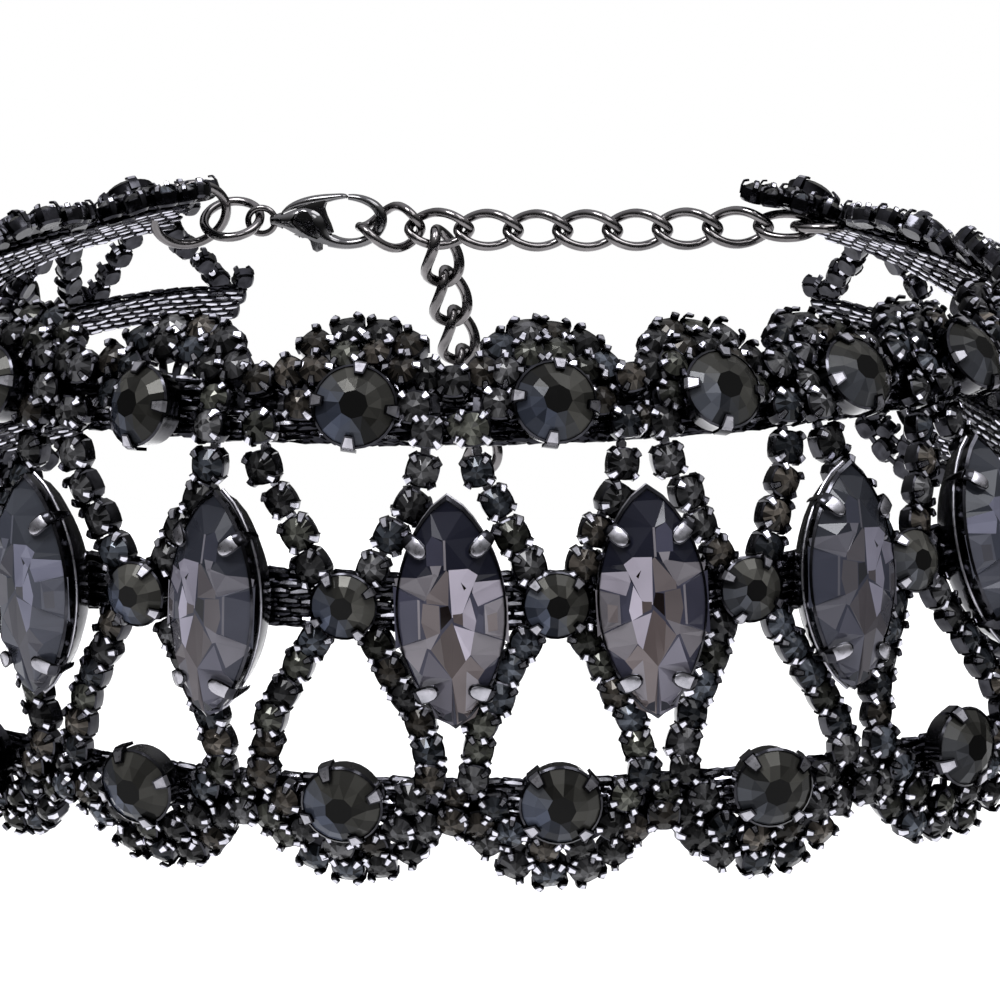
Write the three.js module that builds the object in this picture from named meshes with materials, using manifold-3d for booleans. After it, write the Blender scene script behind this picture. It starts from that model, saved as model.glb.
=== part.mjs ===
// Rhinestone choker, as worn: an open-work band of 18 like units bent round the neck, closed at the
// back by a lobster clasp that hooks into an extender chain. Millimetres, +Z up. The origin is the
// middle of the neck, the front of the band faces -Y and the clasp lies at +Y.
import * as THREE from 'three';
import { mergeVertices } from 'three/addons/utils/BufferGeometryUtils.js';
import Module from 'manifold-3d';

const wasm = await Module();
wasm.setup();

const rad = THREE.MathUtils.degToRad;

// ---- driving dimensions ------------------------------------------------------------------------
const GAP = 0.3; // between pieces that are not soldered to each other

const RING_RADIUS = 48.7; // to the inner face of the woven strips
const UNIT_PITCH = 13.95; // from one marquise to the next, along the inner face
const UNITS = 18; // each is one lattice cell and the scallop pair to its right
const FIRST_CELL = -9; // cell 0 faces -Y

const STRIP = { height: 12.4, width: 3.9, thick: 0.9 }; // outer strips sit at +height and -height
const STRIP_ENDS = { left: -8.85, right: 8.3 }; // in pitches, outer strips
const MIDDLE_ENDS = { left: -9.65, right: 8.8 };

// half discs of paved stones above the top strip and below the bottom one, one to each unit
const SCALLOP = { height: 12.4, radius: 6.9, front: 2.3, steps: 5 };
const BAR = { width: 2.05, back: 0.25, front: 2.6 }; // single row of cup stones
// centre line of a lattice bar, from the bottom strip to the top one: side is from the cell's middle;
// the two bars of a cell with a marquise stone meet behind it and are one plate
const BAR_LINE = [
  { side: 1.6, height: -12.2 },
  { side: 1.65, height: -9.1 },
  { side: 5.3, height: 0 },
  { side: 1.65, height: 8.9 },
  { side: 1.6, height: 12.2 },
];
// the two end cells: how far the bars' ends are drawn back along the strips to reach them, and how
// far the outermost bar hangs out towards the clasp at its middle
const END_CELLS = [{ cell: -9, draw: 5, swing: 3, outer: -1 }, { cell: 8, draw: 0, swing: 5, outer: 1 }];

// round stones in their cups: across the corners, from the band's surface out
const LARGE = { radius: 2.8, back: 1.1, top: 4.4 };
const MEDIUM = { radius: 2.35, back: 1.1, top: 3.7 };
const MARQUISE = { length: 15, width: 7, back: 3.2, girdle: 3.9, top: 5.5, points: 5 };
const CUP = { rim: 0.35, back: 0.6, front: MARQUISE.back - GAP };

// how the soft band hangs: its edges curl in, and towards the clasp it leans in and rises
const CURL = { start: 9.5, end: 18.5, top: rad(53), bottom: rad(22) };
const BACK = { start: 95, end: 113, lean: rad(34) }; // arc lengths over which it takes its lean
const LIFT = { height: 6.2, start: 80, end: 129 };
// to the right of the front its top is pushed in and crowded towards the middle
const PUSHED = { from: -7, full: 46, fade: 52, gone: 98, inset: 2.9, lean: rad(16.5), slip: [1.8, 5] };

// a few marquises stand askew on the soft lattice: turn about the upright, roll about the normal
const ASKEW = [
  { cell: -2, turn: -4, roll: 1 },
  { cell: -1, turn: -18, roll: -4 },
  { cell: 0, turn: 0, roll: 2 },
  { cell: 1, turn: -12, roll: 1 },
  { cell: 2, turn: 2, roll: -7 },
];

const LINK = { length: 6, width: 3.2, wire: 0.9, from: rad(-45), to: rad(45) };
const LINK_PITCH = 4.8;
const HOOKED_LINK = { ...LINK, width: 4.2, from: rad(-100) };
const WIRE_FACETS = { round: 6, link: 12, ring: 16 };
const JUMP_RING = { radius: 2.75, wire: 0.9 };
const END_RING = { wire: 0.95, bulge: 2.7, hold: 2.0 };
const LONG_RING = { length: 5.6, width: 3.6, wire: 0.85 };
const CHAIN = {
  start: new THREE.Vector3(-23.2, 41, 18), // middle of the jump ring
  heading: rad(-7.2),
  sag: 0.8,
  span: 56,
  links: 8,
};
const TAIL_LINK = { ...LINK, width: 3.9, wire: 1.05 };
const TAIL = { links: 6, lean: rad(29), drift: rad(9), along: -0.3, forward: 0.5 }; // from the middle of its holder

// lobster clasp, in its own plane: x from the eye towards the hook, y up, thickness either side
const CLASP = { eye: 2, hole: 1.4, half: 1.15, hook: 0.55, slot: 0.7, lever: 0.4, jaw: 0.75 };
const CLASP_BODY = [
  [0.9, 1.0], [3.0, 1.35], [5.2, 1.45], [5.9, 1.0], [6.3, 0], [6.9, -0.95], [8.0, -1.65],
  [9.3, -1.75], [10.4, -1.2], [11.1, -0.3], [11.0, 0.5], [10.2, 1.25], [9.0, 1.72], [7.95, 1.78],
  [7.5, 2.72], [9.0, 2.66], [10.6, 2.15], [11.9, 1.2], [12.4, 0], [11.9, -1.3], [10.6, -2.3],
  [8.6, -2.72], [6.6, -2.5], [3.7, -1.9], [0.9, -1.05],
];
const LEVER_PLATE = [
  [3.1, -0.5], [4.3, -1.0], [4.55, -3.1], [5.15, -3.1], [5.3, -1.0], [5.3, 0.2], [5.9, 1.3],
  [6.6, 1.75], [6.6, 2.55], [5.8, 2.4], [4.2, 1.9], [3.0, 0.6],
];
const LEVER_JAW = [[6.4, 1.75], [7.5, 1.85], [7.1, 2.7], [6.4, 2.5]];

// ---- materials ---------------------------------------------------------------------------------
const gunmetal = () => new THREE.MeshStandardMaterial({ color: 0x2c2c30, roughness: 0.28, metalness: 1 });
const steel = () => new THREE.MeshStandardMaterial({ color: 0x4a4a4e, roughness: 0.22, metalness: 1 });
const smokyGlass = () => new THREE.MeshStandardMaterial({ color: 0x3c3b45, roughness: 0.05, metalness: 0 });

// ---- the surface of the band -------------------------------------------------------------------
function smooth(low, high, x) {
  const t = THREE.MathUtils.clamp((x - low) / (high - low), 0, 1);
  return t * t * (3 - 2 * t);
}

// how far the band is pushed in at arc length s, from 0 to 1
function pushed(s) {
  return smooth(PUSHED.from, PUSHED.full, s) * (1 - smooth(PUSHED.fade, PUSHED.gone, s));
}

// lean from upright at arc length s and height h along the section; positive tips the top inward
function lean(s, h) {
  const over = Math.max(0, Math.abs(h) - CURL.start) / (CURL.end - CURL.start);
  const curl = h > 0 ? over * CURL.top : -over * CURL.bottom;
  return curl + BACK.lean * smooth(BACK.start, BACK.end, Math.abs(s)) + PUSHED.lean * pushed(s);
}

// point of the inner face, reached from the top strip by following the lean up or down the section
function surfacePoint(s, h) {
  const steps = 16;
  const step = (h - STRIP.height) / steps;
  let radius = RING_RADIUS - PUSHED.inset * pushed(s);
  let z = STRIP.height + LIFT.height * smooth(LIFT.start, LIFT.end, Math.abs(s));
  for (let i = 0; i < steps; i++) {
    const angle = lean(s, STRIP.height + (i + 0.5) * step);
    radius -= Math.sin(angle) * step;
    z += Math.cos(angle) * step;
  }
  const reach = Math.max(0, Math.abs(s) - BACK.start);
  const upward = (h + STRIP.height) / (2 * STRIP.height);
  const slip = (THREE.MathUtils.lerp(...PUSHED.slip, upward) * pushed(s)) / RING_RADIUS;
  const along = (Math.abs(s) - reach) / RING_RADIUS + (2 * reach) / (RING_RADIUS + radius);
  const around = Math.sign(s) * along - slip;
  return new THREE.Vector3(radius * Math.sin(around), -radius * Math.cos(around), z);
}

// right, up and outward directions of the surface, and its point, as one matrix
function surfaceFrame(s, h, depth = 0) {
  const delta = 0.05;
  const right = surfacePoint(s + delta, h).sub(surfacePoint(s - delta, h)).normalize();
  const up = surfacePoint(s, h + delta).sub(surfacePoint(s, h - delta));
  const out = new THREE.Vector3().crossVectors(right, up).normalize();
  up.crossVectors(out, right);
  const origin = surfacePoint(s, h).addScaledVector(out, depth);
  return new THREE.Matrix4().makeBasis(right, up, out).setPosition(origin);
}

function surface(s, h, depth) {
  return new THREE.Vector3().setFromMatrixPosition(surfaceFrame(s, h, depth));
}

// ---- solids and meshes -------------------------------------------------------------------------
function closedGeometry(points, faces) {
  const geometry = new THREE.BufferGeometry().setFromPoints(points);
  geometry.setIndex(faces.flat());
  return geometry;
}

function solid(geometry) {
  const bare = geometry.clone();
  bare.deleteAttribute('normal');
  bare.deleteAttribute('uv');
  const merged = mergeVertices(bare, 1e-4);
  const vertProperties = new Float32Array(merged.attributes.position.array);
  const triVerts = new Uint32Array(merged.index.array);
  return new wasm.Manifold(new wasm.Mesh({ numProp: 3, vertProperties, triVerts }));
}

function geometryOf(manifold) {
  const mesh = manifold.getMesh();
  const geometry = new THREE.BufferGeometry();
  geometry.setAttribute('position', new THREE.BufferAttribute(mesh.vertProperties, 3));
  geometry.setIndex(new THREE.BufferAttribute(mesh.triVerts, 1));
  return geometry;
}

function joined(geometries) {
  return wasm.Manifold.union(geometries.map(solid));
}

const choker = new THREE.Group();

function add(name, geometry, material, matrix) {
  const mesh = new THREE.Mesh(geometry, material);
  mesh.name = name;
  if (matrix) mesh.applyMatrix4(matrix);
  choker.add(mesh);
}

// a plate on the band: rows[i][j] is [s, h, front], i to the right and j upward
function plate(rows, back) {
  const across = rows[0].length;
  const cells = rows.flat();
  const points = [
    ...cells.map(([s, h, front]) => surface(s, h, front)),
    ...cells.map(([s, h]) => surface(s, h, back)),
  ];
  const at = (side, i, j) => side * cells.length + i * across + j;
  const faces = [];
  const quad = (a, b, c, d) => faces.push([a, b, c], [a, c, d]);
  for (let i = 0; i + 1 < rows.length; i++) {
    for (let j = 0; j + 1 < across; j++) {
      quad(at(0, i, j), at(0, i + 1, j), at(0, i + 1, j + 1), at(0, i, j + 1));
      quad(at(1, i, j), at(1, i, j + 1), at(1, i + 1, j + 1), at(1, i + 1, j));
    }
    quad(at(0, i + 1, 0), at(0, i, 0), at(1, i, 0), at(1, i + 1, 0));
    const last = across - 1;
    quad(at(0, i, last), at(0, i + 1, last), at(1, i + 1, last), at(1, i, last));
  }
  for (let j = 0; j + 1 < across; j++) {
    const last = rows.length - 1;
    quad(at(0, 0, j), at(0, 0, j + 1), at(1, 0, j + 1), at(1, 0, j));
    quad(at(0, last, j + 1), at(0, last, j), at(1, last, j), at(1, last, j + 1));
  }
  return closedGeometry(points, faces);
}

function middleStrip() {
  const half = STRIP.width / 2;
  const count = Math.round((MIDDLE_ENDS.right - MIDDLE_ENDS.left) * 2);
  const rows = [];
  for (let i = 0; i <= count; i++) {
    const s = UNIT_PITCH * THREE.MathUtils.lerp(MIDDLE_ENDS.left, MIDDLE_ENDS.right, i / count);
    rows.push([[s, -half, STRIP.thick], [s, half, STRIP.thick]]);
  }
  return plate(rows, 0);
}

// top or bottom strip with the paved half discs that stand on it
function scallopedStrip(side) {
  const valley = STRIP.height + STRIP.width / 2;
  const rows = [];
  const addRow = (s, tip) => {
    const onStrip = s > STRIP_ENDS.left * UNIT_PITCH && s < STRIP_ENDS.right * UNIT_PITCH;
    const row = [
      [s, side * (onStrip ? STRIP.height - STRIP.width / 2 : SCALLOP.height - 0.5), STRIP.thick],
      [s, side * SCALLOP.height, SCALLOP.front],
      [s, side * tip, SCALLOP.front],
    ];
    rows.push(side > 0 ? row : row.reverse());
  };
  for (const cell of CELLS) {
    const middle = (cell + 0.5) * UNIT_PITCH;
    addRow(middle - UNIT_PITCH / 2, valley);
    for (let i = 0; i <= SCALLOP.steps; i++) {
      const angle = Math.PI * (1 - i / SCALLOP.steps);
      const tip = SCALLOP.height + SCALLOP.radius * Math.sin(angle);
      if (tip > valley) addRow(middle + SCALLOP.radius * Math.cos(angle), tip);
    }
  }
  addRow((CELLS.at(-1) + 1) * UNIT_PITCH, valley);
  return plate(rows, 0);
}

// edge of a lattice bar, offset from its centre line
function barEdge(cell, side, offset) {
  const regular = { draw: 0, swing: 0, outer: 0 };
  const { draw, swing, outer } = END_CELLS.find((end) => end.cell === cell) ?? regular;
  return BAR_LINE.map(({ side: away, height }) => {
    const shift = height === 0 ? (side === outer) * swing : -draw;
    return [cell * UNIT_PITCH + side * away + outer * shift + offset, height, BAR.front];
  });
}

function bar(cell, side) {
  return plate([barEdge(cell, side, -BAR.width / 2), barEdge(cell, side, BAR.width / 2)], BAR.back);
}

function barPair(cell) {
  return plate([barEdge(cell, -1, -BAR.width / 2), barEdge(cell, 1, BAR.width / 2)], BAR.back);
}

function roundSetting(s, h, { radius, back, top }) {
  const drum = new THREE.CylinderGeometry(radius, radius, top - back, 6).rotateX(Math.PI / 2);
  return drum.translate(0, 0, (back + top) / 2).applyMatrix4(surfaceFrame(s, h));
}

// pointed oval, anticlockwise, as two arcs
function navette(length, width, points) {
  const outline = [];
  for (let i = 0; i < 2 * points; i++) {
    const along = (i % points) / points;
    const side = i < points ? 1 : -1;
    const y = side * (-length / 2 + length * along);
    const x = (side * width) / 2 * (1 - (2 * along - 1) ** 2) ** 0.85;
    outline.push(new THREE.Vector2(x, y));
  }
  return outline;
}

// closed solid through copies of an outline, each scaled and set at a depth
function stacked(outline, levels) {
  const count = outline.length;
  const points = levels.flatMap(({ scale, depth }) =>
    outline.map((p) => new THREE.Vector3(p.x * scale, p.y * scale, depth)));
  const faces = [];
  for (let level = 0; level + 1 < levels.length; level++) {
    for (let i = 0; i < count; i++) {
      const a = level * count + i;
      const b = level * count + ((i + 1) % count);
      faces.push([a, b, b + count], [a, b + count, a + count]);
    }
  }
  const top = (levels.length - 1) * count;
  for (let i = 1; i + 1 < count; i++) {
    faces.push([0, i + 1, i], [top, top + i, top + i + 1]);
  }
  return closedGeometry(points, faces);
}

function marquiseFrame(cell) {
  const { turn, roll } = ASKEW.find((a) => a.cell === cell) ?? { turn: 0, roll: 0 };
  const local = new THREE.Matrix4().makeRotationY(rad(turn));
  local.multiply(new THREE.Matrix4().makeRotationZ(rad(roll)));
  return surfaceFrame(cell * UNIT_PITCH, 0).multiply(local);
}

function marquiseCup(cell) {
  const { rim, back, front } = CUP;
  const outline = navette(MARQUISE.length + 2 * rim, MARQUISE.width + 2 * rim, 4);
  const levels = [{ scale: 0.8, depth: back }, { scale: 1, depth: front }];
  return stacked(outline, levels).applyMatrix4(marquiseFrame(cell));
}

function marquiseStone() {
  return stacked(navette(MARQUISE.length, MARQUISE.width, MARQUISE.points), [
    { scale: 0.9, depth: MARQUISE.back },
    { scale: 1, depth: MARQUISE.girdle },
    { scale: 0.5, depth: MARQUISE.top },
  ]);
}

// room for a stone in the lattice round it, down to just above the rim of its cup
function marquiseClearance(cell) {
  const outline = navette(MARQUISE.length + 2 * GAP, MARQUISE.width + 2 * GAP, 4);
  const levels = [{ scale: 1, depth: CUP.front + 0.02 }, { scale: 1, depth: MARQUISE.top }];
  return stacked(outline, levels).applyMatrix4(marquiseFrame(cell));
}

// wire bent into a closed loop: path(angle) gives { point, up }, up being across the loop's plane
function closedWire(path, wire, steps) {
  const tube = 0.25;
  const geometry = new THREE.TorusGeometry(1, tube, WIRE_FACETS.round, steps);
  const position = geometry.attributes.position;
  const vertex = new THREE.Vector3();
  for (let i = 0; i < position.count; i++) {
    vertex.fromBufferAttribute(position, i);
    const angle = Math.atan2(vertex.y, vertex.x);
    const outward = ((Math.hypot(vertex.x, vertex.y) - 1) / tube) * (wire / 2);
    const across = (vertex.z / tube) * (wire / 2);
    const { point, up } = path(angle);
    const tangent = path(angle + 0.01).point.sub(path(angle - 0.01).point).normalize();
    up.addScaledVector(tangent, -up.dot(tangent)).normalize();
    const out = new THREE.Vector3().crossVectors(tangent, up);
    point.addScaledVector(out, outward).addScaledVector(up, across);
    position.setXYZ(i, point.x, point.y, point.z);
  }
  return geometry;
}

// oval loop along x, twisted about x from one end to the other
function ovalWire({ length, width, wire, from = 0, to = 0, steps = WIRE_FACETS.link }) {
  const path = (angle) => {
    const along = Math.cos(angle);
    const turn = THREE.MathUtils.lerp(from, to, (1 + along) / 2);
    const y = (width / 2) * Math.sin(angle);
    return {
      point: new THREE.Vector3((length / 2) * along, y * Math.cos(turn), y * Math.sin(turn)),
      up: new THREE.Vector3(0, -Math.sin(turn), Math.cos(turn)),
    };
  };
  return closedWire(path, wire, steps);
}

// ---- band --------------------------------------------------------------------------------------
const CELLS = Array.from({ length: UNITS }, (_, i) => FIRST_CELL + i);
const STONE_CELLS = CELLS.slice(1, -1); // the two end cells are left empty

function bandSolid(clearances) {
  const pieces = [middleStrip(), scallopedStrip(1), scallopedStrip(-1)];
  for (const cell of CELLS) {
    const between = (cell + 0.5) * UNIT_PITCH;
    pieces.push(roundSetting(between, SCALLOP.height, LARGE));
    pieces.push(roundSetting(between, -SCALLOP.height, LARGE));
    if (cell !== CELLS.at(-1)) pieces.push(roundSetting(between, 0, MEDIUM));
    if (STONE_CELLS.includes(cell)) pieces.push(barPair(cell), marquiseCup(cell));
    else pieces.push(bar(cell, -1), bar(cell, 1));
  }
  return joined(pieces).subtract(joined(clearances));
}

// ring through three points, as a matrix for a ring lying in its own xy plane
function ringThrough(a, b, c) {
  const circle = new THREE.Triangle(a, b, c);
  const normal = circle.getNormal(new THREE.Vector3());
  const ab = b.clone().sub(a);
  const ac = c.clone().sub(a);
  const cross = new THREE.Vector3().crossVectors(ab, ac);
  const toCentre = cross.clone().cross(ab).multiplyScalar(ac.lengthSq());
  toCentre.add(ac.clone().cross(cross).multiplyScalar(ab.lengthSq()));
  toCentre.divideScalar(2 * cross.lengthSq());
  const x = toCentre.clone().negate().normalize();
  const y = new THREE.Vector3().crossVectors(normal, x);
  const matrix = new THREE.Matrix4().makeBasis(x, y, normal);
  return { radius: toCentre.length(), matrix: matrix.setPosition(a.clone().add(toCentre)) };
}

function endRing(ring, wire) {
  return ovalWire({ length: 2 * ring.radius, width: 2 * ring.radius, wire, steps: WIRE_FACETS.ring });
}

// ---- chain -------------------------------------------------------------------------------------
// frame at a distance along the closing chain: x along it, y up, z towards the ring's middle
function chainFrame(along) {
  const heading = new THREE.Vector3(Math.cos(CHAIN.heading), Math.sin(CHAIN.heading), 0);
  const origin = CHAIN.start.clone().addScaledVector(heading, along);
  origin.z -= CHAIN.sag * Math.sin((Math.PI * along) / CHAIN.span);
  const up = new THREE.Vector3(0, 0, 1);
  const inward = new THREE.Vector3().crossVectors(heading, up);
  return new THREE.Matrix4().makeBasis(heading, up, inward).setPosition(origin);
}

const EYE_AT = JUMP_RING.radius + 0.2;
const HOOK_INSIDE = EYE_AT + 11.05;
const HOOK_SLACK = 0.9; // from the hook to the wire it holds
const FIRST_LINK_AT = HOOK_INSIDE - HOOK_SLACK - LINK.wire / 2 + LINK.length / 2;
const LONG_RING_AT = FIRST_LINK_AT + (CHAIN.links - 1) * LINK_PITCH + LINK.length / 2
  - (LINK.wire + LONG_RING.wire) / 2 - GAP + LONG_RING.length / 2;

const leftRing = ringThrough(
  surface(-8.62 * UNIT_PITCH, STRIP.height, STRIP.thick / 2),
  surface(-8.9 * UNIT_PITCH, 16, 1.15),
  new THREE.Vector3(END_RING.hold - JUMP_RING.radius, 0, 0).applyMatrix4(chainFrame(0)),
);
const rightHole = surface(8.14 * UNIT_PITCH, STRIP.height, 1);
const rightEnd = new THREE.Vector3(LONG_RING.length / 2 - END_RING.hold, 0, 0).applyMatrix4(chainFrame(LONG_RING_AT));
const inward = new THREE.Vector3(-rightHole.x, -rightHole.y, 0).normalize();
const rightRing = ringThrough(
  rightHole,
  rightHole.clone().lerp(rightEnd, 0.5).addScaledVector(inward, END_RING.bulge),
  rightEnd,
);

const tipped = new THREE.Matrix4().makeRotationX(rad(-55));
const longRingFrame = chainFrame(LONG_RING_AT).multiply(tipped);
const ringClearance = (ring) => endRing(ring, END_RING.wire + 2 * GAP).applyMatrix4(ring.matrix);
const jumpRing = { length: 2 * JUMP_RING.radius, width: 2 * JUMP_RING.radius, steps: WIRE_FACETS.ring };
const jumpRingFrame = chainFrame(0).multiply(tipped);
const clearances = [
  ...[leftRing, rightRing].map(ringClearance),
  ovalWire({ ...jumpRing, wire: JUMP_RING.wire + 2 * GAP }).applyMatrix4(jumpRingFrame),
  ovalWire({ ...LONG_RING, wire: LONG_RING.wire + 2 * GAP }).applyMatrix4(longRingFrame),
  ...STONE_CELLS.map(marquiseClearance),
];
add('band', geometryOf(bandSolid(clearances)), gunmetal());
STONE_CELLS.forEach((cell, i) => {
  const name = `marquise_stone_${String(i + 1).padStart(2, '0')}`;
  add(name, marquiseStone(), smokyGlass(), marquiseFrame(cell));
});

add('end_ring_left', endRing(leftRing, END_RING.wire), steel(), leftRing.matrix);
add('end_ring_right', endRing(rightRing, END_RING.wire), steel(), rightRing.matrix);

add('jump_ring', ovalWire({ ...jumpRing, wire: JUMP_RING.wire }), steel(), jumpRingFrame);
for (let i = 0; i < CHAIN.links; i++) {
  const frame = chainFrame(FIRST_LINK_AT + i * LINK_PITCH);
  const link = ovalWire(i === 0 ? HOOKED_LINK : LINK);
  add(`chain_link_${String(i + 1).padStart(2, '0')}`, link, steel(), frame);
}
add('long_ring', ovalWire(LONG_RING), steel(), longRingFrame);

// the chain's free end, hanging from the lower wire of the second link
const holder = chainFrame(FIRST_LINK_AT + LINK_PITCH + TAIL.along);
const tailTop = new THREE.Vector3(0, -LINK.width / 2 + LINK.wire + GAP + 0.12, TAIL.forward).applyMatrix4(holder);
const down = new THREE.Vector3(Math.tan(TAIL.drift), Math.sin(TAIL.lean), -Math.cos(TAIL.lean)).normalize();
const tailAcross = new THREE.Vector3(0, Math.cos(TAIL.lean), Math.sin(TAIL.lean));
tailAcross.applyAxisAngle(down, LINK.to);
const tailNormal = new THREE.Vector3().crossVectors(down, tailAcross);
for (let i = 0; i < TAIL.links; i++) {
  const centre = tailTop.clone().addScaledVector(down, LINK.length / 2 + i * LINK_PITCH);
  const frame = new THREE.Matrix4().makeBasis(down, tailAcross, tailNormal).setPosition(centre);
  add(`tail_link_${String(i + 1).padStart(2, '0')}`, ovalWire(TAIL_LINK), steel(), frame);
}

// ---- clasp -------------------------------------------------------------------------------------
function flat(outline, half) {
  const shape = new THREE.Shape(outline.map(([x, y]) => new THREE.Vector2(x, y)));
  return new THREE.ExtrudeGeometry(shape, { depth: 2 * half, bevelEnabled: false }).translate(0, 0, -half);
}

function block(x, y, halfDepth) {
  const size = [x[1] - x[0], y[1] - y[0], 2 * halfDepth];
  return new THREE.BoxGeometry(...size).translate((x[0] + x[1]) / 2, (y[0] + y[1]) / 2, 0);
}

function disc(radius, half) {
  return new THREE.CylinderGeometry(radius, radius, 2 * half, 16).rotateX(Math.PI / 2);
}

const claspFrame = chainFrame(EYE_AT);
const thinning = (CLASP.half - CLASP.hook) / 2;
const beside = (CLASP.half + CLASP.hook) / 2 + 0.5;
const claspBody = joined([flat(CLASP_BODY, CLASP.half), disc(CLASP.eye, 0.75)])
  .subtract(solid(block([7.3, 13], [-4, 4], thinning + 0.5).translate(0, 0, beside)))
  .subtract(solid(block([7.3, 13], [-4, 4], thinning + 0.5).translate(0, 0, -beside)))
  .subtract(solid(disc(CLASP.hole, 2)))
  .subtract(solid(block([2.4, 6.7], [-1.25, 3.2], CLASP.slot)))
  .subtract(solid(block([2.9, 5.9], [-4, 0], CLASP.slot)));
add('clasp_body', geometryOf(claspBody), steel(), claspFrame);

const claspLever = joined([flat(LEVER_PLATE, CLASP.lever), flat(LEVER_JAW, CLASP.jaw)]);
add('clasp_lever', geometryOf(claspLever), steel(), claspFrame);

export default choker;
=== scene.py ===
"""Looks of the rhinestone choker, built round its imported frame.

Every length below is in millimetres, like the part's, until a mesh is made. A place on the band is
(s, h): the arc length from the middle of the front, to the right, and the height along the section.
"""

import random
from math import atan2, cos, hypot, pi, radians, sin, tan

import bmesh
import bpy
import numpy as np
from mathutils import Matrix, Vector
from mathutils.geometry import delaunay_2d_cdt


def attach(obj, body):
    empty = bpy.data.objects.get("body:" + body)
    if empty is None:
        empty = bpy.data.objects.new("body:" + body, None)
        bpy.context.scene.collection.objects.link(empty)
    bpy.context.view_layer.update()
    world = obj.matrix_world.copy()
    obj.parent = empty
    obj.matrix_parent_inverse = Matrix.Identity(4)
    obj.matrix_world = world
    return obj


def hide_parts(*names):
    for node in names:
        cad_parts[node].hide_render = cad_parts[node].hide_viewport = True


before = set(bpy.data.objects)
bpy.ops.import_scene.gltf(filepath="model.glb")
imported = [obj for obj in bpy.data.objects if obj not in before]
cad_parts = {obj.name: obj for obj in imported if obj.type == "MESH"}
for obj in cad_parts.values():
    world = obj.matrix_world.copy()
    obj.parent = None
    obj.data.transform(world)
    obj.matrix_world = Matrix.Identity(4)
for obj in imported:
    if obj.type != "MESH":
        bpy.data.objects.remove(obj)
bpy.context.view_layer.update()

MM = 0.001
rng = random.Random(7)

# ---- the band's shape, as the part has it ----
RING_RADIUS = 48.7
PITCH = 13.95
CELLS = range(-9, 9)
STONE_CELLS = range(-8, 8)
STRIP_HEIGHT = 12.4
STRIP_WIDTH = 3.9
STRIP_ENDS = (-8.85, 8.45)  # of the top and bottom strips, in pitches
MIDDLE_ENDS = (-9.65, 8.8)
BOTTOM_STRIP = {"height": -13.7, "width": 3.3}
CURL = {"start": 9.5, "end": 18.5, "top": radians(53), "bottom": radians(22)}
BACK = {"start": 95, "end": 113, "lean": radians(34)}
LIFT = {"height": 6.2, "start": 80, "end": 129}
PUSHED = {"from": -7, "full": 46, "fade": 52, "gone": 98, "inset": 2.9, "lean": radians(16.5)}
SLIP = {"bottom": 1.8, "top": 5}  # how far the strips are pushed along the band there
ASKEW = {-2: (-4, 1), -1: (-18, -4), 0: (0, 2), 1: (-12, 1), 2: (2, -7)}  # turn, roll in degrees
MARQUISE = {"length": 15.0, "width": 7.0, "girdle": 3.9, "top": 5.4, "fullness": 0.76}


def smooth(low, high, x):
    """A smooth step from 0 at low to 1 at high."""
    t = np.clip((x - low) / (high - low), 0, 1)
    return t * t * (3 - 2 * t)


def pushed(s):
    """How far the right front is pushed in at s, from 0 to 1."""
    return smooth(PUSHED["from"], PUSHED["full"], s) * (1 - smooth(PUSHED["fade"], PUSHED["gone"], s))


def lean(s, h):
    """How far the band leans in there: its curled edges, its back and its pushed front."""
    over = np.maximum(0, np.abs(h) - CURL["start"]) / (CURL["end"] - CURL["start"])
    curl = np.where(h > 0, over * CURL["top"], -over * CURL["bottom"])
    return curl + BACK["lean"] * smooth(BACK["start"], BACK["end"], np.abs(s)) + PUSHED["lean"] * pushed(s)


def surface_point(s, h):
    """Points of the band's inner face, reached from the top strip along the section."""
    steps = 16
    step = (h - STRIP_HEIGHT) / steps
    radius = RING_RADIUS - PUSHED["inset"] * pushed(s)
    z = STRIP_HEIGHT + LIFT["height"] * smooth(LIFT["start"], LIFT["end"], np.abs(s))
    for i in range(steps):
        angle = lean(s, STRIP_HEIGHT + (i + 0.5) * step)
        radius = radius - np.sin(angle) * step
        z = z + np.cos(angle) * step
    reach = np.maximum(0, np.abs(s) - BACK["start"])
    upward = (h + STRIP_HEIGHT) / (2 * STRIP_HEIGHT)
    slip = (SLIP["bottom"] + (SLIP["top"] - SLIP["bottom"]) * upward) * pushed(s) / RING_RADIUS
    along = (np.abs(s) - reach) / RING_RADIUS + 2 * reach / (RING_RADIUS + radius)
    around = np.sign(s) * along - slip
    return np.stack([radius * np.sin(around), -radius * np.cos(around), z], -1)


def unit(v):
    return v / np.linalg.norm(v, axis=-1, keepdims=True)


def surface_frames(s, h, depth=0.0, spin=0.0):
    """Axes (k, 3, 3) with right, up and out as columns, turned by spin about out, and origins (k, 3)."""
    values = (np.atleast_1d(np.asarray(v, float)) for v in (s, h, depth, spin))
    s, h, depth, spin = np.broadcast_arrays(*values)
    delta = 0.05
    right = unit(surface_point(s + delta, h) - surface_point(s - delta, h))
    out = unit(np.cross(right, surface_point(s, h + delta) - surface_point(s, h - delta)))
    up = np.cross(out, right)
    origins = surface_point(s, h) + out * depth[:, None]
    c, w = np.cos(spin)[:, None], np.sin(spin)[:, None]
    return np.stack([right * c + up * w, up * c - right * w, out], -1), origins


def tilted(axes, turns, rolls):
    """Axes turned about their own y and then their own z, in radians."""
    made = []
    for frame_axes, turn, roll in zip(axes, turns, rolls):
        local = Matrix.Rotation(turn, 3, "Y") @ Matrix.Rotation(roll, 3, "Z")
        made.append(frame_axes @ np.array(local))
    return np.array(made)


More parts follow.
